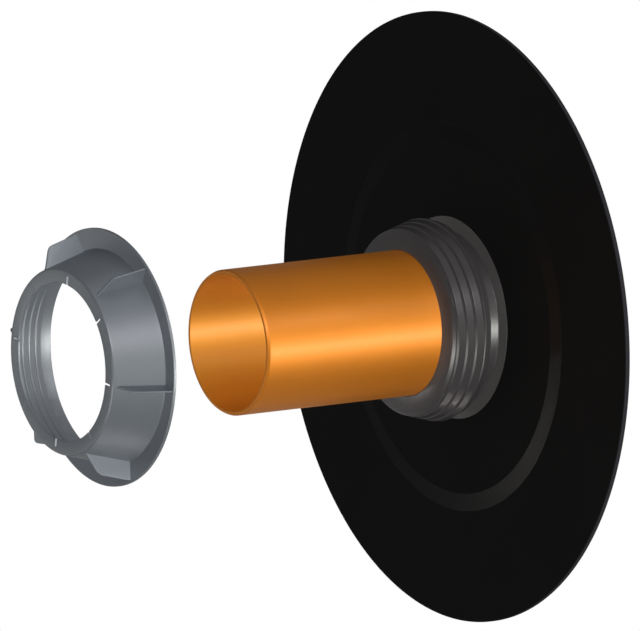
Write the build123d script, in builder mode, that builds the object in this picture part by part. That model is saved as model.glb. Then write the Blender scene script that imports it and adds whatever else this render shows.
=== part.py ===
from build123d import *
import os
from math import atan, ceil, cos, degrees, sin

# Pipe sleeve for a wall: a wide rubber membrane with a threaded rubber collar, the drain pipe
# that runs through it, and the winged lock ring that squeezes the collar onto the pipe.
#
# The frame: the pipe's axis is Y and +Z is up. The origin is on the pipe's axis, level with the
# membrane's outer front face. The front, where the lock ring goes on, is towards -Y.
# All sizes are millimetres. The lock ring is drawn unscrewed, in line with the pipe.

# Drain pipe
pipe_diameter = 110.0
pipe_wall = 3.2
pipe_length = 250.0
pipe_reach = 202.2  # from the membrane's front face to the pipe's near end
pipe_bevel_length = 2.0
pipe_bevel_depth = 1.0

# Membrane
membrane_diameter = 462.0
membrane_thickness = 4.8
shoulder_width = 13.2  # radial width of the slope around the raised middle
crown_drop = 0.5  # the raised middle falls this much towards its edge
crown_flat_radius = 100.0

# Collar flanges, which grip the membrane's inner edge from both sides
front_flange_radius = 76.7
back_flange_radius = 131.0
back_flange_thickness = 2.0
grip_depth = 2.0  # how deep the front flange is let into the membrane
front_flange_proud = 0.2
neck_radius = 65.8
seat_clearance = 0.02  # between the membrane and the collar moulded into it

# Collar mouth and its tapered outer thread
collar_reach = 46.9  # from the membrane's front face to the collar's mouth
mouth_clearance = 0.35  # between the collar's bore and the pipe
seal_clearance = 0.08  # between the sealing ribs and the pipe
rib_length = 3.0
rib_count = 2
rib_pitch = 24.0
rib_start = 7.0  # from the collar's mouth to the first rib
mouth_land_drop = 1.3  # the face of the mouth falls this much towards its edge
mouth_chamfer = 2.0
cone_front_radius = 69.9  # at the plane of the mouth, the chamfer left out
cone_taper = 0.276  # growth of the radius for each millimetre along the axis
cone_length = 25.6  # from the mouth to the widest turn
cone_relief_length = 6.0
cone_relief_depth = 2.0
shoulder_length = 4.4  # from the relief's end down to the neck

# The thread that the collar and the lock ring share
thread_pitch = 7.0
groove_width = 2.1
groove_depth = 1.3
ridge_width = 1.9
ridge_height = 1.1
groove_lead = 4.45  # from where the groove's helix starts, in the air, to the mouth

# Lock ring
ring_reach = 350.6  # from the membrane's front face to the lock ring's lip
barrel_length = 39.7  # from the lip's face to where the barrel meets the flange
lip_thickness = 1.5
lip_clearance = 4.7  # between the lip and the pipe
lip_edge_chamfer = 1.2
barrel_wall = 3.5
tighten_travel = 11.1  # what is left to tighten when the two cones first meet
cone_clearance = 0.25
threaded_length = 30.1  # from the lip's face to the end of the tapered bore, straight from there
lead_in_length = 3.4  # chamfer at the back of the bore
lead_in_depth = 5.1
ring_flange_width = 15.9
ring_flange_thickness = 2.4  # along the axis
ring_flange_lean = 3.3  # how far the flange's rim stands forward of its root
ridge_start = 4.6  # from the lip's face to the start of the inner thread
ridge_turns = 3
slot_count = 8
slot_width = 2.0
slot_depth = 6.3
slot_angle = 37.7
wing_count = 6
wing_angle = 52.7
wing_start = 3.5  # from the lip's face to the foot of the wing
wing_nose = 7.0  # from the foot of the wing to its corner
wing_rise = 15.0  # how far the crest stands off the barrel, square to the axis
wing_corner_radius = 5.0
wing_root_thickness = 2.0
wing_crest_thickness = 1.4

# Worked out from the sizes above
pipe_radius = pipe_diameter / 2
membrane_radius = membrane_diameter / 2
rise = back_flange_thickness  # the membrane's middle is dished forward over the back flange
recess_radius = back_flange_radius + seat_clearance
crown_radius = recess_radius + (membrane_thickness - rise) * 0.9
collar_back = membrane_thickness
front_flange_face = -rise - front_flange_proud
front_flange_back = -rise + grip_depth
mouth = -collar_reach
cone_end = mouth + cone_length
relief_end = cone_end + cone_relief_length
neck_start = relief_end + shoulder_length
cone_slope = atan(cone_taper)
lip_face = -ring_reach
lip_bore_radius = pipe_radius + lip_clearance
ring_length = barrel_length + ring_flange_thickness
hand_tight_face = mouth - tighten_travel - lip_thickness


def cone_radius(y):
    """Radius of the collar's thread lands at the place y along the axis."""
    return cone_front_radius + cone_taper * (y - mouth)


def ring_bore_radius(depth):
    """Radius of the lock ring's bore at a depth behind its lip's face, to fit the collar's cone."""
    return cone_radius(hand_tight_face + depth) + cone_clearance


def barrel_radius(depth):
    """Radius of the lock ring's outside at a depth behind its lip's face."""
    return ring_bore_radius(depth) + barrel_wall


# Drain pipe, a cut length with a bevel at each end
with BuildPart() as pipe:
    with BuildSketch(Plane.XY):
        with BuildLine():
            near = -pipe_reach
            far = near + pipe_length
            Polyline(
                (pipe_radius - pipe_wall, near),
                (pipe_radius - pipe_bevel_depth, near),
                (pipe_radius, near + pipe_bevel_length),
                (pipe_radius, far - pipe_bevel_length),
                (pipe_radius - pipe_bevel_depth, far),
                (pipe_radius - pipe_wall, far),
                close=True,
            )
        make_face()
    revolve(axis=Axis.Y)

# Membrane, an even sheet whose middle stands forward over the collar's back flange
with BuildPart() as membrane:
    with BuildSketch(Plane.XY):
        with BuildLine():
            Polyline(
                (neck_radius + seat_clearance, front_flange_back + seat_clearance),
                (front_flange_radius + seat_clearance, front_flange_back + seat_clearance),
                (front_flange_radius + seat_clearance, -rise),
                (crown_flat_radius, -rise),
                (crown_radius, crown_drop - rise),
                (crown_radius + shoulder_width, 0),
                (membrane_radius, 0),
                (membrane_radius, membrane_thickness),
                (recess_radius, membrane_thickness),
                (recess_radius, membrane_thickness - rise - seat_clearance),
                (neck_radius + seat_clearance, membrane_thickness - rise - seat_clearance),
                close=True,
            )
        make_face()
    revolve(axis=Axis.Y)

# Collar, one moulding: two flanges, the neck, and the tapered thread around the bore
with BuildPart() as collar:
    bore_radius = pipe_radius + mouth_clearance
    relief_radius = cone_radius(cone_end) - cone_relief_depth
    mouth_edge = mouth + mouth_land_drop
    with BuildSketch(Plane.XY):
        with BuildLine():
            Polyline(
                (bore_radius, mouth),
                (cone_radius(mouth_edge) - mouth_chamfer, mouth_edge),
                (cone_radius(mouth_edge + mouth_chamfer), mouth_edge + mouth_chamfer),
                (cone_radius(cone_end), cone_end),
                (relief_radius, relief_end),
                (neck_radius, neck_start),
                (neck_radius, front_flange_face),
                (front_flange_radius, front_flange_face),
                (front_flange_radius, front_flange_back),
                (neck_radius, front_flange_back),
                (neck_radius, collar_back - back_flange_thickness),
                (back_flange_radius, collar_back - back_flange_thickness),
                (back_flange_radius, collar_back),
                (bore_radius, collar_back),
                close=True,
            )
        make_face()
    revolve(axis=Axis.Y)

    # Sealing ribs in the bore, shaped like saw teeth that the pipe slides in over
    with BuildSketch(Plane.XY):
        rib_root = pipe_radius + 2 * mouth_clearance
        with Locations([(0, mouth + rib_start + rib_pitch * i) for i in range(rib_count)]):
            Polygon((rib_root, -rib_length), (pipe_radius + seal_clearance, 0), (rib_root, rib_length / 3), align=None)
    revolve(axis=Axis.Y)

    # V groove of the outer thread, cut turn by turn until it runs out where the cone falls away
    groove_from = mouth - groove_lead
    for turn in range(ceil((cone_end - groove_from) / thread_pitch)):
        turn_from = groove_from + turn * thread_pitch
        with BuildLine() as path:
            Helix(
                pitch=thread_pitch,
                height=thread_pitch,
                radius=cone_radius(turn_from),
                center=(0, turn_from, 0),
                direction=(0, 1, 0),
                cone_angle=degrees(cone_slope),
            )
        start = path.line @ 0
        with BuildSketch(Plane(start, x_dir=(start.X, 0, start.Z), z_dir=path.line % 0)):
            Polygon((-groove_depth, 0), (groove_depth, groove_width), (groove_depth, -groove_width), align=None)
        sweep(is_frenet=True, mode=Mode.SUBTRACT)

# One wing of the lock ring, an upright plate on the barrel that runs back into the flange
with BuildPart() as wing:
    root_sink = barrel_wall / 3
    foot = barrel_radius(wing_start)
    nose_depth = wing_start + wing_nose
    nose = barrel_radius(nose_depth) + wing_rise
    tail_sink = ring_flange_thickness / 3
    crest_tail = barrel_length - ring_flange_lean * wing_rise / ring_flange_width + tail_sink
    root_tail = barrel_length + tail_sink
    with BuildSketch(Plane.XY):
        with BuildLine():
            Polyline(
                (foot - root_sink, lip_face + wing_start),
                (foot, lip_face + wing_start),
                (nose, lip_face + nose_depth),
                (barrel_radius(crest_tail) + wing_rise, lip_face + crest_tail),
                (barrel_radius(root_tail) - root_sink, lip_face + root_tail),
                close=True,
            )
        make_face()
        nose_corner = vertices().sort_by_distance((nose, lip_face + nose_depth))[0]
        fillet(nose_corner, radius=wing_corner_radius)
    extrude(amount=wing_root_thickness, both=True)

    # The section across the wing, carried along the slope of the barrel
    slope_plane = Plane(
        (barrel_radius(0), lip_face, 0),
        x_dir=(cos(cone_slope), -sin(cone_slope), 0),
        z_dir=(sin(cone_slope), cos(cone_slope), 0),
    )
    wing_height = wing_rise * cos(cone_slope)
    with BuildSketch(slope_plane):
        Polygon(
            (-root_sink, -wing_root_thickness / 2),
            (0, -wing_root_thickness / 2),
            (wing_height, -wing_crest_thickness / 2),
            (wing_height, wing_crest_thickness / 2),
            (0, wing_root_thickness / 2),
            (-root_sink, wing_root_thickness / 2),
            align=None,
        )
    extrude(amount=ring_length * 1.2, mode=Mode.INTERSECT)

# Lock ring, one moulding: slotted lip, tapered barrel with an inner thread, wings, and a flange
# that is dished forward
with BuildPart() as lock_ring:
    ring_back = lip_face + ring_length
    flange_root_radius = barrel_radius(barrel_length)
    ring_flange_radius = flange_root_radius + ring_flange_width
    flange_root = lip_face + barrel_length
    entry_radius = ring_bore_radius(threaded_length)
    with BuildSketch(Plane.XY):
        with BuildLine():
            Polyline(
                (lip_bore_radius, lip_face),
                (barrel_radius(0), lip_face),
                (flange_root_radius, flange_root),
                (ring_flange_radius, flange_root - ring_flange_lean),
                (ring_flange_radius, ring_back - ring_flange_lean),
                (flange_root_radius, ring_back),
                (entry_radius + lead_in_depth, ring_back),
                (entry_radius, ring_back - lead_in_length),
                (entry_radius, lip_face + threaded_length),
                (ring_bore_radius(lip_thickness), lip_face + lip_thickness),
                (lip_bore_radius, lip_face + lip_thickness),
                close=True,
            )
        make_face()
        lip_corner = vertices().sort_by_distance((barrel_radius(0), lip_face))[0]
        chamfer(lip_corner, length=lip_edge_chamfer)
    revolve(axis=Axis.Y)

    # Slots that let the lip spring over the pipe
    with BuildSketch(Plane.XZ.offset(ring_reach)):
        with PolarLocations(lip_bore_radius + slot_depth / 2, slot_count, start_angle=slot_angle):
            Rectangle(slot_depth, slot_width)
        with PolarLocations(lip_bore_radius, slot_count, start_angle=slot_angle):
            Rectangle(slot_width, slot_width)
    extrude(amount=-lip_thickness, mode=Mode.SUBTRACT)

    for i in range(wing_count):
        add(wing.part.rotate(Axis.Y, -wing_angle - 360 / wing_count * i))

    # V ridge of the inner thread, which leaves the last stretch of the bore smooth
    for turn in range(ridge_turns):
        turn_depth = ridge_start + turn * thread_pitch
        with BuildLine() as path:
            Helix(
                pitch=thread_pitch,
                height=thread_pitch,
                radius=ring_bore_radius(turn_depth),
                center=(0, lip_face + turn_depth, 0),
                direction=(0, 1, 0),
                cone_angle=degrees(cone_slope),
            )
        start = path.line @ 0
        with BuildSketch(Plane(start, x_dir=(-start.X, 0, -start.Z), z_dir=path.line % 0)):
            Polygon((ridge_height, 0), (-ridge_height, ridge_width), (-ridge_height, -ridge_width), align=None)
        sweep(is_frenet=True)

os.makedirs("parts", exist_ok=True)
pipe.part.label = "pipe"
membrane.part.label = "membrane"
collar.part.label = "collar"
lock_ring.part.label = "lock_ring"
export_step(pipe.part, "parts/pipe.step")
export_step(membrane.part, "parts/membrane.step")
export_step(collar.part, "parts/collar.step")
export_step(lock_ring.part, "parts/lock_ring.step")
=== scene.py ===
from math import cos, pi, radians, sin, tan

import bpy
import numpy as np
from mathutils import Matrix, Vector


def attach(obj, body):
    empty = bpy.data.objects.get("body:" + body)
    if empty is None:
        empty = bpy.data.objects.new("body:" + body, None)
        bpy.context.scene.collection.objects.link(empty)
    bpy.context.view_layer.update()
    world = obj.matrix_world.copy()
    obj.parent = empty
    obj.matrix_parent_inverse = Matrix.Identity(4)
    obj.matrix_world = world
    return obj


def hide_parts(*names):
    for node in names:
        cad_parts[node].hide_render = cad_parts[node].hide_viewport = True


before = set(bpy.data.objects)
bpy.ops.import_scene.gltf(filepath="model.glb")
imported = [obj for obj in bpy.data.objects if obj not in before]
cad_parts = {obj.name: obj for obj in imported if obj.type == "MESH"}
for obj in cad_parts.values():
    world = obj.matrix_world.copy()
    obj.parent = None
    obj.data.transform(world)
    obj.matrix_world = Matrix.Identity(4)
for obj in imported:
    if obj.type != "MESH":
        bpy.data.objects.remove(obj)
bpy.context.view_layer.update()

# The real pipe is an extruded orange PVC drain pipe, sawn to length and bevelled at both ends
# so that it pushes through the collar's sealing ribs. It is only gripped, never glued.
# All sizes are in millimetres, and the pipe's axis is Y with the lock ring towards -Y.
mm = 0.001
pipe_radius = 55.0
pipe_wall = 3.2
pipe_near = -202.2
pipe_far = 47.8
pipe_bevel_length = 2.0
pipe_bevel_depth = 1.0
pipe_columns = 240

outer_skin_colours = (0.510, 0.165, 0.010, 1), (0.545, 0.177, 0.011, 1)
# The bore's colours are painted shade: darker and less red than the outside's, against the light
# that bounces inside the pipe.
bore_shade_colours = (0.425, 0.166, 0.013, 1), (0.455, 0.178, 0.014, 1)
inner_skin_from = 53.6
inner_skin_whole = 51.6
die_line_stretch = 0.012


def rounded_outline(corners, arc_steps=5):
    """A closed outline of (radius, place along the axis) with its corners rounded.

    Each corner is (radius, place, rounding). Its arc touches both sides at rounding * tan(turn / 2)
    from the corner, but no further along than a share of the shorter side. Between its ends the
    arc is the two end spokes, weighted by the sines of the angles that are left and passed. One
    more point stands a little before and after the arc, which keeps the shading of the flats flat.
    """
    longest_share = 0.45
    guard_share, longest_guard = 0.35, 0.3
    corner = np.array([c[:2] for c in corners], float)
    rounding = np.array([c[2] for c in corners], float)
    before = np.roll(corner, 1, axis=0) - corner
    after = np.roll(corner, -1, axis=0) - corner
    before_length = np.linalg.norm(before, axis=1)
    after_length = np.linalg.norm(after, axis=1)
    before = before / before_length[:, None]
    after = after / after_length[:, None]
    half_angle = np.arccos(np.clip((before * after).sum(1), -1, 1)) / 2
    shorter_side = np.minimum(before_length, after_length)
    touch = np.minimum(rounding / np.tan(half_angle), longest_share * shorter_side)
    points = []
    for i in range(len(corner)):
        if rounding[i] == 0:
            points.append(corner[i])
            continue
        centre_way = before[i] + after[i]
        centre_way = centre_way / np.linalg.norm(centre_way)
        radius = touch[i] * tan(half_angle[i])
        centre = corner[i] + centre_way * radius / sin(half_angle[i])
        start = corner[i] + before[i] * touch[i] - centre
        end = corner[i] + after[i] * touch[i] - centre
        sweep = np.arccos(np.clip(start @ end / radius**2, -1, 1))
        t = np.linspace(0, 1, arc_steps + 1)[:, None]
        arc = (np.sin((1 - t) * sweep) * start + np.sin(t * sweep) * end) / sin(sweep)
        guard = min(guard_share * touch[i], longest_guard)
        points.append(corner[i] + before[i] * (touch[i] + guard))
        points.extend(centre + arc)
        points.append(corner[i] + after[i] * (touch[i] + guard))
    return np.array(points)


def around(radius, place, angle):
    """Places about the axis: radius * cos(angle) along X, place along Y, radius * sin(angle) up."""
    return np.stack([radius * np.cos(angle), place + 0 * angle, radius * np.sin(angle)], axis=-1)


def turned(outline, columns):
    """Places on a turned piece: each (radius, place) of the outline at even angles all round."""
    return around(outline[:, :1], outline[:, 1:], np.arange(columns) * 2 * pi / columns)


def skin(name, places, wrap_rows=True, wrap_columns=True):
    """A mesh over a grid of places (rows, columns, 3) in millimetres, wound to face outwards.

    Each square of the grid is two triangles. Points that fall together are joined, triangles that
    shrink to nothing are left out, and all turn round where the volume they enclose, the sum of
    corner . (corner x corner) over them, comes out below zero.
    """
    sharp_angle = 35
    rows, columns = places.shape[:2]
    number = np.arange(rows * columns).reshape(rows, columns)
    if wrap_rows:
        number = np.vstack([number, number[:1]])
    if wrap_columns:
        number = np.hstack([number, number[:, :1]])
    a, b, c, d = number[:-1, :-1], number[1:, :-1], number[1:, 1:], number[:-1, 1:]
    quads = np.stack([a, b, c, d], axis=-1).reshape(-1, 4)
    flat = np.round(places.reshape(-1, 3), 5) + 0.0
    kept, joined = np.unique(flat, axis=0, return_inverse=True)
    quads = joined.reshape(-1)[quads]
    triangles = np.vstack([quads[:, [0, 1, 2]], quads[:, [0, 2, 3]]])
    real = (
        (triangles[:, 0] != triangles[:, 1])
        & (triangles[:, 1] != triangles[:, 2])
        & (triangles[:, 0] != triangles[:, 2])
    )
    triangles = triangles[real]
    corners = kept[triangles]
    volume = np.einsum("ij,ij->i", corners[:, 0], np.cross(corners[:, 1], corners[:, 2])).sum()
    if volume < 0:
        triangles = triangles[:, ::-1]
    mesh = bpy.data.meshes.new(name)
    mesh.from_pydata((kept * mm).tolist(), [], triangles.tolist())
    mesh.polygons.foreach_set("use_smooth", np.ones(len(mesh.polygons), bool))
    mesh.set_sharp_from_angle(angle=radians(sharp_angle))
    piece = bpy.data.objects.new(name, mesh)
    bpy.context.scene.collection.objects.link(piece)
    return piece


class Shade:
    """An output of a shader node. Arithmetic on it adds Math nodes, node() adds any other kind."""

    def __init__(self, tree, socket=None):
        self.tree = tree
        self.socket = socket

    def node(self, kind, settings=None, sockets=None, output=0):
        """Adds a node: its settings first, then a value or link for each socket, by name or number.

        What comes back is the node's output of the given number.
        """
        made = self.tree.nodes.new(kind)
        for name, value in (settings or {}).items():
            setattr(made, name, value)
        for name, value in (sockets or {}).items():
            if isinstance(value, Shade):
                self.tree.links.new(value.socket, made.inputs[name])
            else:
                made.inputs[name].default_value = value
        return Shade(self.tree, made.outputs[output] if len(made.outputs) else None)

    def maths(self, operation, left, right):
        """A Math node that does the operation on left and right, each a number or a Shade."""
        return self.node("ShaderNodeMath", {"operation": operation}, {0: left, 1: right})

    def __add__(self, other):
        return self.maths("ADD", self, other)

    def __radd__(self, other):
        return self.maths("ADD", other, self)

    def __sub__(self, other):
        return self.maths("SUBTRACT", self, other)

    def __rsub__(self, other):
        return self.maths("SUBTRACT", other, self)

    def __mul__(self, other):
        return self.maths("MULTIPLY", self, other)

    def __rmul__(self, other):
        return self.maths("MULTIPLY", other, self)

    def clamped(self):
        """The same value, held between 0 and 1."""
        return self.node("ShaderNodeClamp", None, {0: self})

    def blend(self, first, second):
        """first where this is 0 and second where it is 1, both colours."""
        sockets = {0: self, 6: first, 7: second}
        return self.node("ShaderNodeMix", {"data_type": "RGBA"}, sockets, output=2)


def new_material(name):
    """An empty material, and a Shade that adds nodes to it."""
    material = bpy.data.materials.new(name)
    material.use_nodes = True
    material.node_tree.nodes.clear()
    return material, Shade(material.node_tree)


def noise(place, scale, detail, roughness):
    """A cloudy value around a half, with scale clouds to the metre and finer ones within them."""
    sockets = {"Vector": place, "Scale": scale, "Detail": detail, "Roughness": roughness}
    return place.node("ShaderNodeTexNoise", None, sockets)


def sharpened(pattern, gain):
    """A pattern whose distance from a half is made gain times as large, held between 0 and 1."""
    return (pattern * gain - (gain - 1) / 2).clamped()


def scaled(place, scale):
    """The place with its X, Y and Z each multiplied by a number of scale."""
    sockets = {"Vector": place, "Scale": scale}
    return place.node("ShaderNodeMapping", {"vector_type": "POINT"}, sockets)


def axis_distance(place):
    """How far a place is from the pipe's axis: the length of (x, 0, z), in metres."""
    across = scaled(place, (1.0, 0.0, 1.0))
    return place.node("ShaderNodeVectorMath", {"operation": "LENGTH"}, {0: across}, output=1)


def fade(distance, none, whole):
    """0 where the distance is none and 1 where it is whole, straight between and level beyond.

    The distance is in metres, and none and whole are in millimetres.
    """
    slope = 1 / ((whole - none) * mm)
    return (distance * slope - none * mm * slope).clamped()


def dents(height, strength, distance):
    """A normal that is tilted as if the surface rose and fell with the height."""
    sockets = {"Height": height, "Strength": strength, "Distance": distance}
    return height.node("ShaderNodeBump", None, sockets)


def finish_surface(shade, sockets):
    """Joins one Principled shader with these sockets to the material's output."""
    shader = shade.node("ShaderNodeBsdfPrincipled", None, sockets)
    shade.node("ShaderNodeOutputMaterial", None, {"Surface": shader})


def coat(piece, material):
    """Gives the whole piece one material."""
    piece.data.materials.clear()
    piece.data.materials.append(material)
    piece.data.polygons.foreach_set("material_index", np.zeros(len(piece.data.polygons), np.int32))


pipe_outline = rounded_outline(
    [
        (pipe_radius - pipe_wall, pipe_near, 0.25),
        (pipe_radius - pipe_bevel_depth, pipe_near, 0.2),
        (pipe_radius, pipe_near + pipe_bevel_length, 0.4),
        (pipe_radius, pipe_far - pipe_bevel_length, 0.4),
        (pipe_radius - pipe_bevel_depth, pipe_far, 0.2),
        (pipe_radius - pipe_wall, pipe_far, 0.25),
    ]
)
pipe = skin("drain_pipe", turned(pipe_outline, pipe_columns))

# Faint lines from the die run along the pipe, under a thin clear gloss. The bore is painted darker
# and less red, as painted shade against the light that bounces inside it.
orange_pvc, shade = new_material("orange_pvc")
place = shade.node("ShaderNodeTexCoord", output=3)
die_lines = noise(scaled(place, (1.0, die_line_stretch, 1.0)), 900.0, 2.0, 0.6)
clouds = sharpened(noise(place, 26.0, 3.0, 0.55), 1.6)
scuffs = noise(place, 420.0, 4.0, 0.7)
inside = fade(axis_distance(place), inner_skin_from, inner_skin_whole)
outer_skin = clouds.blend(*outer_skin_colours)
# Painted shade: the bore takes the darker, less red colours.
shaded_bore_skin = clouds.blend(*bore_shade_colours)
finish_surface(
    shade,
    {
        "Base Color": inside.blend(outer_skin, shaded_bore_skin),
        "Metallic": 0.66,
        "Roughness": (0.47 + scuffs * 0.07 + die_lines * 0.05).clamped(),
        "Normal": dents(die_lines, 0.06, 0.0004),
        "IOR": 1.6,
        "Specular IOR Level": 0.25,
        "Coat Weight": 0.14,
        "Coat Roughness": 0.34,
    },
)
coat(pipe, orange_pvc)
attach(pipe, "pipe")
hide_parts("pipe")

# The real membrane is a disc punched from black rubber sheet and vulcanised to the collar.
# Its middle is pressed forward over the collar's back flange, which leaves the slope around it.
membrane_radius = 231.0
membrane_thickness = 4.8
membrane_columns = 320
rise = 2.0
grip = 0.02
flange_radius = 76.7
neck_radius = 65.8
back_flange_radius = 131.0
fall_start_radius = 100.0
crown_radius = 133.54
crown_fall = 0.5
shoulder_radius = 146.74

face_colours = (0.0034, 0.0034, 0.0035, 1), (0.0044, 0.0044, 0.0044, 1)
# The punched edge's paler colour is a painted highlight along the rim.
rim_highlight_colour = (0.021, 0.020, 0.024, 1)
rim_highlight_width = 0.25
polish_inner = 133.0
polish_outer = 147.5
polish_fade = 5 / 6

sheet_outline = rounded_outline(
    [
        (neck_radius + grip, grip, 0),
        (flange_radius + grip, grip, 0),
        (flange_radius + grip, -rise, 0.15),
        (fall_start_radius, -rise, 6.0),
        (crown_radius, crown_fall - rise, 3.0),
        (shoulder_radius, 0.0, 8.0),
        (membrane_radius, 0.0, 1.3),
        (membrane_radius, membrane_thickness, 1.3),
        (back_flange_radius + grip, membrane_thickness, 0.15),
        (back_flange_radius + grip, membrane_thickness - rise - grip, 0),
        (neck_radius + grip, membrane_thickness - rise - grip, 0),
    ]
)
membrane = skin("membrane_sheet", turned(sheet_outline, membrane_columns))

# The faces are matt with a trace of talc, the punched edge is painted paler as a highlight along
# the rim, and the slope is glossier.
black_rubber, shade = new_material("black_rubber")
place = shade.node("ShaderNodeTexCoord", output=3)
talc = noise(place, 9.0, 5.0, 0.62)
grain = noise(place, 1500.0, 2.0, 0.7)
from_axis = axis_distance(place)
# Painted highlight: the outermost quarter millimetre of the rim is painted paler.
painted_rim_highlight = fade(from_axis, membrane_radius - rim_highlight_width, membrane_radius)
slope_start = fade(from_axis, polish_inner, polish_inner + polish_fade)
slope_end = fade(from_axis, polish_outer, polish_outer - polish_fade)
face_colour = sharpened(talc, 2.2).blend(*face_colours)
finish_surface(
    shade,
    {
        "Base Color": painted_rim_highlight.blend(face_colour, rim_highlight_colour),
        "Roughness": (0.62 - slope_start * slope_end * 0.37 + talc * 0.03).clamped(),
        "Normal": dents(grain, 0.22, 0.0002),
        "IOR": 1.5,
        "Specular IOR Level": 0.03,
    },
)
coat(membrane, black_rubber)
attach(membrane, "sleeve")
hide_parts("membrane")

# The real collar is one moulding of dark grey elastomer: two flanges that hold the membrane's
# inner edge, a neck, and a cone with a coarse right-hand V thread that the lock ring squeezes.
mouth = -46.9
mouth_edge = mouth + 1.3
mouth_chamfer = 2.0
cone_front_radius = 69.9
cone_taper = 0.276
cone_end = mouth + 25.6
relief_length = 6.0
relief_depth = 2.0
relief_end = cone_end + relief_length
neck_start = relief_end + 4.4
flange_front = -rise - 0.2
bore_radius = pipe_radius + 0.35
thread_pitch = 7.0
thread_rounding = 0.12
groove_width = 2.1
groove_depth = 1.3
groove_start = mouth - 4.45
land_rounding = 0.5
collar_columns = 241

collar_colours = (0.029, 0.027, 0.028, 1), (0.035, 0.033, 0.034, 1)


def cone_radius(place):
    """The plain cone's radius: its radius at the mouth plus the taper times the way from there."""
    return cone_front_radius + cone_taper * (place - mouth)


def soft_min(first, second, width):
    """The lower of two heights, with the edge between them rounded over the width.

    near goes from 0 to 1 as first falls below second, and the height is their mixture by near,
    less width * near * (1 - near), which fills the corner out.
    """
    near = np.clip(0.5 + 0.5 * (second - first) / width, 0, 1)
    return second + (first - second) * near - width * near * (1 - near)


def off_helix(place, turn, start):
    """How far a place lies along the axis from the nearest turn of a right-hand helix.

    The helix is at start when it is at the top, and goes one pitch along the axis for each turn
    from +Z towards +X; turn is the angle from the top in whole turns.
    """
    cycle = (place - start) / thread_pitch - turn
    return (cycle - np.round(cycle)) * thread_pitch


def helix_rows(low, high, turn, steps):
    """Places along the axis in rows that follow the helix, with so many steps to a pitch.

    A place is low, plus its row's share of the pitch, plus the turn times the pitch, held between
    low and high.
    """
    count = int((high - low) / thread_pitch * steps) + 2 * steps
    row = (np.arange(count) - steps) * thread_pitch / steps
    return np.clip(low + row[:, None] + turn[None, :] * thread_pitch, low, high)


def rings(outline, columns):
    """The radius and the place of each point of an outline, repeated over the columns."""
    return np.repeat(outline[:, :1], columns, axis=1), np.repeat(outline[:, 1:], columns, axis=1)


collar_turn = np.linspace(0, 1, collar_columns)
collar_angle = pi / 2 - 2 * pi * collar_turn

# The threaded cone, from the mouth's edge to where the relief leaves the groove behind.
rim_radius = cone_radius(mouth_edge) - mouth_chamfer
chamfer_radius = cone_radius(mouth_edge + mouth_chamfer)
widest_radius = cone_radius(cone_end)
relief_radius = widest_radius - relief_depth
cone_place = helix_rows(mouth_edge, relief_end, collar_turn, steps=44)
chamfer_slope = (chamfer_radius - rim_radius) / mouth_chamfer
chamfer_line = rim_radius + (cone_place - mouth_edge) * chamfer_slope
relief_line = widest_radius - (cone_place - cone_end) * (relief_depth / relief_length)
land = soft_min(chamfer_line, cone_radius(cone_place), land_rounding)
land = soft_min(land, relief_line, land_rounding)
groove_off = np.abs(off_helix(cone_place, collar_turn, groove_start))
groove = cone_radius(cone_place) - groove_depth + groove_off * 2 * groove_depth / groove_width
cone_skin = soft_min(land, groove, thread_rounding)
cone_skin = np.where(cone_place >= relief_end, relief_radius, cone_skin)
cone_skin = np.where(cone_place <= mouth_edge, rim_radius, cone_skin)

# The rest of the collar is turned. Its first and last corner are the cone's own end rows.
rest_outline = rounded_outline(
    [
        (relief_radius, relief_end, 0),
        (neck_radius, neck_start, 1.5),
        (neck_radius, flange_front, 0.5),
        (flange_radius, flange_front, 0.2),
        (flange_radius, 0, 0),
        (neck_radius, 0, 0),
        (neck_radius, membrane_thickness - rise, 0),
        (back_flange_radius, membrane_thickness - rise, 0),
        (back_flange_radius, membrane_thickness, 0.2),
        (bore_radius, membrane_thickness, 0.4),
        (bore_radius, mouth, 0.35),
        (rim_radius, mouth_edge, 0),
    ]
)
rest_radius, rest_place = rings(rest_outline[1:-1], collar_columns)
radius = np.vstack([cone_skin, rest_radius])
along_axis = np.vstack([cone_place, rest_place])
collar = skin("threaded_collar", around(radius, along_axis, collar_angle), wrap_columns=False)

grey_rubber, shade = new_material("grey_rubber")
place = shade.node("ShaderNodeTexCoord", output=3)
bloom = noise(place, 30.0, 4.0, 0.6)
pores = noise(place, 1300.0, 2.0, 0.7)
finish_surface(
    shade,
    {
        "Base Color": sharpened(bloom, 2.0).blend(*collar_colours),
        "Metallic": 0.1,
        "Roughness": (0.32 + bloom * 0.05).clamped(),
        "Normal": dents(pores, 0.12, 0.0002),
        "IOR": 1.5,
        "Specular IOR Level": 0.5,
    },
)
coat(collar, grey_rubber)
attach(collar, "sleeve")
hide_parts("collar")

# The real lock ring is one injection moulding of blue-grey plastic. Its slotted lip springs over
# the pipe, the ridge in its tapered bore runs in the collar's groove, and the wings are for the
# hand. Depths are measured from the face of the lip, backwards.
lip_face = -350.6
lip_thickness = 1.5
lip_radius = 59.7
lip_edge = 0.3
bore_front_radius = 66.67
barrel_wall = 3.5
barrel_length = 39.7
threaded_length = 30.1
ring_length = 42.1
entry_radius = bore_front_radius + cone_taper * threaded_length
lead_in_length = 3.4
lead_in_depth = 5.1
ring_flange_width = 15.9
ring_flange_lean = 3.3
ridge_width = 1.9
ridge_height = 1.1
ridge_crest = 0.8
ridge_start = 4.6
ridge_turns = 3.0
ridge_run_out = 0.04
slot_count = 8
slot_width = 2.0
slot_bottom = 66.0
slot_angle = 37.7
lip_steps = 28

ring_colours = (0.108, 0.124, 0.143, 1), (0.118, 0.135, 0.156, 1)


def barrel_radius(depth):
    """The barrel's outer radius: the bore's at the lip, plus taper times depth, plus the wall."""
    return bore_front_radius + cone_taper * depth + barrel_wall


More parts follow.
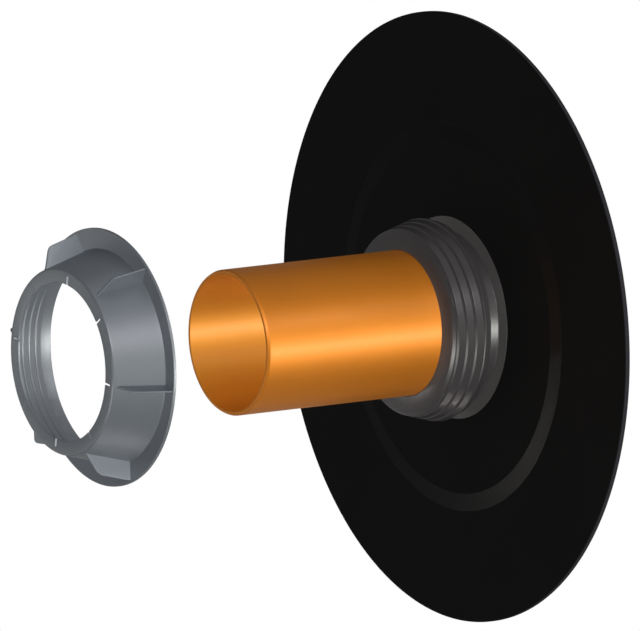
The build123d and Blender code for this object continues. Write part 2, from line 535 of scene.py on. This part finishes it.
# Columns once round the helix from the top, with four at each slot: both ends of both of its sides.
# Slots are counted from a whole turn back to a few too many, and then cut to the one turn.
top_angle = 90.0
last_angle = top_angle - 360.0
sector = 360 / slot_count
half_slots = np.degrees(np.arcsin(slot_width / 2 / np.array([lip_radius, slot_bottom])))
half_slot_at_lip, half_slot_at_bottom = half_slots
slot_middles = slot_angle + np.arange(-slot_count, 3)[:, None] * sector
slot_columns = (slot_middles + np.array([-half_slot_at_bottom, half_slot_at_bottom])).reshape(-1)
between = half_slot_at_lip + (sector - 2 * half_slot_at_lip) * np.linspace(0, 1, lip_steps)
lip_columns = (slot_middles + between).reshape(-1)
all_angles = np.concatenate([slot_columns, lip_columns, [top_angle, last_angle]])
all_reaches = np.full(len(all_angles), lip_radius)
all_reaches[: len(slot_columns)] = slot_bottom
once = (all_angles <= top_angle) & (all_angles >= last_angle)
order = np.argsort(-all_angles[once], kind="stable")
ring_degrees = all_angles[once][order]
lip_reach = all_reaches[once][order]
ring_angle = np.radians(ring_degrees)
ring_turn = (top_angle - ring_degrees) / 360
ring_columns = len(ring_angle)

# The bore: its taper with the ridge, which stands on the taper with a flat crest and sloping
# flanks and sinks into it at both ends. Its straight back and lead-in belong to the outside.
bore_place = helix_rows(lip_thickness, threaded_length, ring_turn, steps=40)
taper = bore_front_radius + cone_taper * bore_place
ridge_off = off_helix(bore_place, ring_turn, ridge_start)
ridge_along = (bore_place - ridge_off - ridge_start) / thread_pitch
ridge_run = np.clip(ridge_along / ridge_run_out + 1, 0, 1)
ridge_run = ridge_run * np.clip((ridge_turns - ridge_along) / ridge_run_out + 1, 0, 1)
half_crest = ridge_crest / 2
level_crest = cone_taper * np.clip(ridge_off, -half_crest, half_crest)
past_crest = np.clip(np.abs(ridge_off) - half_crest, 0, None)
flank = past_crest * 2 * ridge_height / (ridge_width - ridge_crest)
ridge = taper - level_crest - ridge_height * ridge_run + flank
at_end = (bore_place <= lip_thickness) | (bore_place >= threaded_length)
bore_skin = np.where(at_end, taper, soft_min(taper, ridge, thread_rounding))

# The turned outside. Its first corner is the bore's last row, and its last two, on the lip, only
# point the side there: the slotted edge of the lip takes their place.
barrel_back_radius = barrel_radius(barrel_length)
ring_flange_radius = barrel_back_radius + ring_flange_width
pointer_radius = lip_radius + 4
outside = rounded_outline(
    [
        (entry_radius, threaded_length, 0),
        (entry_radius, ring_length - lead_in_length, 0.6),
        (entry_radius + lead_in_depth, ring_length, 0.3),
        (barrel_back_radius, ring_length, 1.0),
        (ring_flange_radius, ring_length - ring_flange_lean, 0.5),
        (ring_flange_radius, barrel_length - ring_flange_lean, 0.5),
        (barrel_back_radius, barrel_length, 0.6),
        (barrel_radius(0), 0.0, 1.6),
        (pointer_radius, 0.0, 0),
        (pointer_radius, lip_thickness, 0),
    ]
)
outer_radius, outer_depth = rings(outside[1:-2], ring_columns)

# The lip's inner edge, a quarter round at its face and a plain corner behind.
quarter = np.linspace(0, pi / 2, 4)[:, None]
lip_inner = np.vstack([lip_reach + lip_edge * (1 - np.sin(quarter)), lip_reach[None, :]])
lip_rounding = lip_edge * (1 - np.cos(quarter)) + 0 * lip_reach
lip_depth = np.vstack([lip_rounding, lip_thickness + 0 * lip_reach])
radius = np.vstack([bore_skin, outer_radius, lip_inner])
depth = np.vstack([bore_place, outer_depth, lip_depth])
ring = skin("lock_ring_body", around(radius, lip_face + depth, ring_angle), wrap_columns=False)

# The wings, upright plates on the barrel that thin a little to their crests and end in the flange.
wing_count = 6
wing_angle = 52.7
wing_start = 3.5
wing_nose = 10.5
wing_rise = 15.0
wing_corner_radius = 5.0
wing_root_thickness = 2.0
wing_crest_thickness = 1.4
wing_edge = 0.4
wing_sink = 1.2
tail_sink = 0.8
crest_tail = barrel_length - ring_flange_lean * wing_rise / ring_flange_width + tail_sink
wing_thinning = wing_crest_thickness - wing_root_thickness

# The plate's outline as (height over the barrel, depth), and at each point the way inwards, square
# to the line between its two neighbours.
wing_outline = rounded_outline(
    [
        (-wing_sink, wing_start, 0),
        (0.0, wing_start, 0),
        (wing_rise, wing_nose, wing_corner_radius),
        (wing_rise, crest_tail, 0),
        (-wing_sink, barrel_length + tail_sink, 0),
    ],
    arc_steps=10,
)
middle = wing_outline.mean(axis=0)
along_outline = np.roll(wing_outline, -1, axis=0) - np.roll(wing_outline, 1, axis=0)
inwards = np.stack([-along_outline[:, 1], along_outline[:, 0]], axis=1)
inwards = inwards / np.linalg.norm(inwards, axis=1)[:, None]
inwards = inwards * np.sign((inwards * (middle - wing_outline)).sum(1))[:, None]

# From the middle of one face over the quarter-round edges to the middle of the other; half is how
# far each point stands off the plate's own middle plane.
round_edge = np.linspace(0, pi / 2, 5)[:, None, None]
edge_rows = wing_outline + inwards * wing_edge * (1 - np.sin(round_edge))
thickness = wing_root_thickness + wing_thinning * np.clip(edge_rows[:, :, 0], 0, None) / wing_rise
half_rows = thickness / 2 - wing_edge * (1 - np.cos(round_edge[:, :, 0]))
centre_row = np.broadcast_to(middle, (1, len(wing_outline), 2))
centre_thickness = wing_root_thickness + wing_thinning * middle[0] / wing_rise
centre_half = np.full((1, len(wing_outline)), centre_thickness / 2)
plate = np.vstack([centre_row, edge_rows, edge_rows[::-1], centre_row])
half = np.vstack([centre_half, half_rows, -half_rows[::-1], -centre_half])
out = barrel_radius(plate[:, :, 1]) + plate[:, :, 0]
wings = []
for i in range(wing_count):
    angle = radians(wing_angle + i * 360 / wing_count)
    across = out * cos(angle) - half * sin(angle)
    upwards = out * sin(angle) + half * cos(angle)
    plate_places = np.stack([across, lip_face + plate[:, :, 1], upwards], axis=-1)
    wings.append(skin(f"wing_{i + 1}", plate_places, wrap_rows=False))

grey_plastic, shade = new_material("grey_plastic")
place = shade.node("ShaderNodeTexCoord", output=3)
flow = noise(place, 18.0, 4.0, 0.6)
spark = noise(place, 1700.0, 2.0, 0.7)
finish_surface(
    shade,
    {
        "Base Color": sharpened(flow, 2.0).blend(*ring_colours),
        "Metallic": 0.35,
        "Roughness": (0.42 + flow * 0.05).clamped(),
        "Normal": dents(spark, 0.10, 0.0002),
        "IOR": 1.6,
        "Specular IOR Level": 1.0,
    },
)
for piece in [ring, *wings]:
    coat(piece, grey_plastic)
    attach(piece, "lock_ring")
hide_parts("lock_ring")

# The studio isn't part of the object: a small pale floor far below it, a room that is white to the
# camera and dim to the object, seven soft lamps, and the camera at the picture's angle. Its sizes
# are in metres.
floor_radius = 2.2
floor_height = -0.85
floor_sides = 96
floor_grey = 0.5
floor_glow_strength = 0.6
room_strength = 0.19

floor_angle = np.arange(floor_sides) * 2 * pi / floor_sides
floor_rim = np.stack(
    [
        floor_radius * np.cos(floor_angle),
        floor_radius * np.sin(floor_angle),
        np.full(floor_sides, floor_height),
    ],
    axis=-1,
)
floor_mesh = bpy.data.meshes.new("floor")
floor_mesh.from_pydata(floor_rim.tolist(), [], [list(range(floor_sides))])
floor = bpy.data.objects.new("floor", floor_mesh)
bpy.context.scene.collection.objects.link(floor)
white_floor, shade = new_material("white_floor")
seen = shade.node("ShaderNodeLightPath")
grey = (floor_grey, floor_grey, floor_grey, 1)
floor_paint = shade.node("ShaderNodeBsdfDiffuse", None, {"Color": grey, "Roughness": 0.5})
glow = {"Color": (1, 1, 1, 1), "Strength": seen * floor_glow_strength}
floor_glow = shade.node("ShaderNodeEmission", None, glow)
floor_both = shade.node("ShaderNodeAddShader", None, {0: floor_paint, 1: floor_glow})
shade.node("ShaderNodeOutputMaterial", None, {"Surface": floor_both})
floor_mesh.materials.append(white_floor)

world = bpy.data.worlds.new("white_room")
bpy.context.scene.world = world
world.use_nodes = True
world.node_tree.nodes.clear()
shade = Shade(world.node_tree)
seen = shade.node("ShaderNodeLightPath")
white = (1, 1, 1, 1)
room_light = shade.node("ShaderNodeBackground", None, {"Color": white, "Strength": room_strength})
room_wall = shade.node("ShaderNodeBackground", None, {"Color": white, "Strength": 1.0})
room = shade.node("ShaderNodeMixShader", None, {0: seen, 1: room_light, 2: room_wall})
shade.node("ShaderNodeOutputWorld", None, {"Surface": room})


def soft_sun(name, towards, strength, spread, colour, shadow):
    """A soft lamp far away in the direction towards, as wide as spread in degrees.

    A lamp without shadow only fills, so that it also reaches the insides of the pipe and the ring.
    """
    lamp = bpy.data.lights.new(name, "SUN")
    lamp.energy = strength
    lamp.angle = radians(spread)
    lamp.color = colour
    lamp.use_shadow = shadow
    holder = bpy.data.objects.new(name, lamp)
    holder.rotation_mode = "QUATERNION"
    holder.rotation_quaternion = Vector(towards).to_track_quat("Z", "Y")
    bpy.context.scene.collection.objects.link(holder)


# From the right: low and behind, for the gloss along the pipe, then high and a little in front, for
# the cone and the barrel, then high and behind, for the pipe's second band of gloss.
soft_sun("far_side_fill", (0.83, 0.53, -0.16), 2.0, 10, (0.98, 1.0, 0.94), shadow=False)
soft_sun("high_fill", (0.83, -0.28, 0.47), 1.85, 10, (1.0, 0.96, 0.95), shadow=False)
soft_sun("high_far_fill", (0.70, 0.55, 0.46), 0.55, 14, (0.96, 0.98, 1.0), shadow=False)
# From the front below, from straight below and from the left, for the undersides and far edges.
soft_sun("front_fill", (0.27, -0.87, -0.42), 1.3, 10, (1.0, 0.97, 0.93), shadow=False)
soft_sun("low_fill", (-0.05, 0.24, -0.97), 0.17, 2, (1.0, 0.92, 0.90), shadow=False)
soft_sun("left_glint", (-0.70, -0.66, -0.27), 0.17, 6, (1.0, 0.97, 0.92), shadow=False)
# From above, wide and weak, and the only one that casts a shadow.
soft_sun("ceiling_lamp", (0.1, 0.15, 1.0), 0.2, 40, (1.0, 1.0, 1.0), shadow=True)

# The camera stands far off behind a long lens, because the picture has next to no perspective.
view_azimuth = radians(56.43)
view_elevation = radians(9.97)
look_right = -0.09958
look_up = 0.00113
look_back = 0.09
lens = 1400.0
sensor_width = 36.0
frame_width = 0.4793
furthest_seen = 100.0

back = Vector(
    (
        sin(view_azimuth) * cos(view_elevation),
        -cos(view_azimuth) * cos(view_elevation),
        sin(view_elevation),
    )
)
right = Vector((cos(view_azimuth), sin(view_azimuth), 0))
up = back.cross(right)
look_at = right * look_right + up * look_up + back * look_back
camera = bpy.data.cameras.new("camera")
camera.lens = lens
camera.sensor_width = sensor_width
camera.clip_end = furthest_seen
camera_holder = bpy.data.objects.new("camera", camera)
camera_holder.location = look_at + back * (lens / sensor_width * frame_width)
camera_holder.rotation_mode = "QUATERNION"
camera_holder.rotation_quaternion = (-back).to_track_quat("-Z", "Y")
bpy.context.scene.collection.objects.link(camera_holder)
bpy.context.scene.camera = camera_holder
bpy.context.scene.view_settings.view_transform = "Standard"
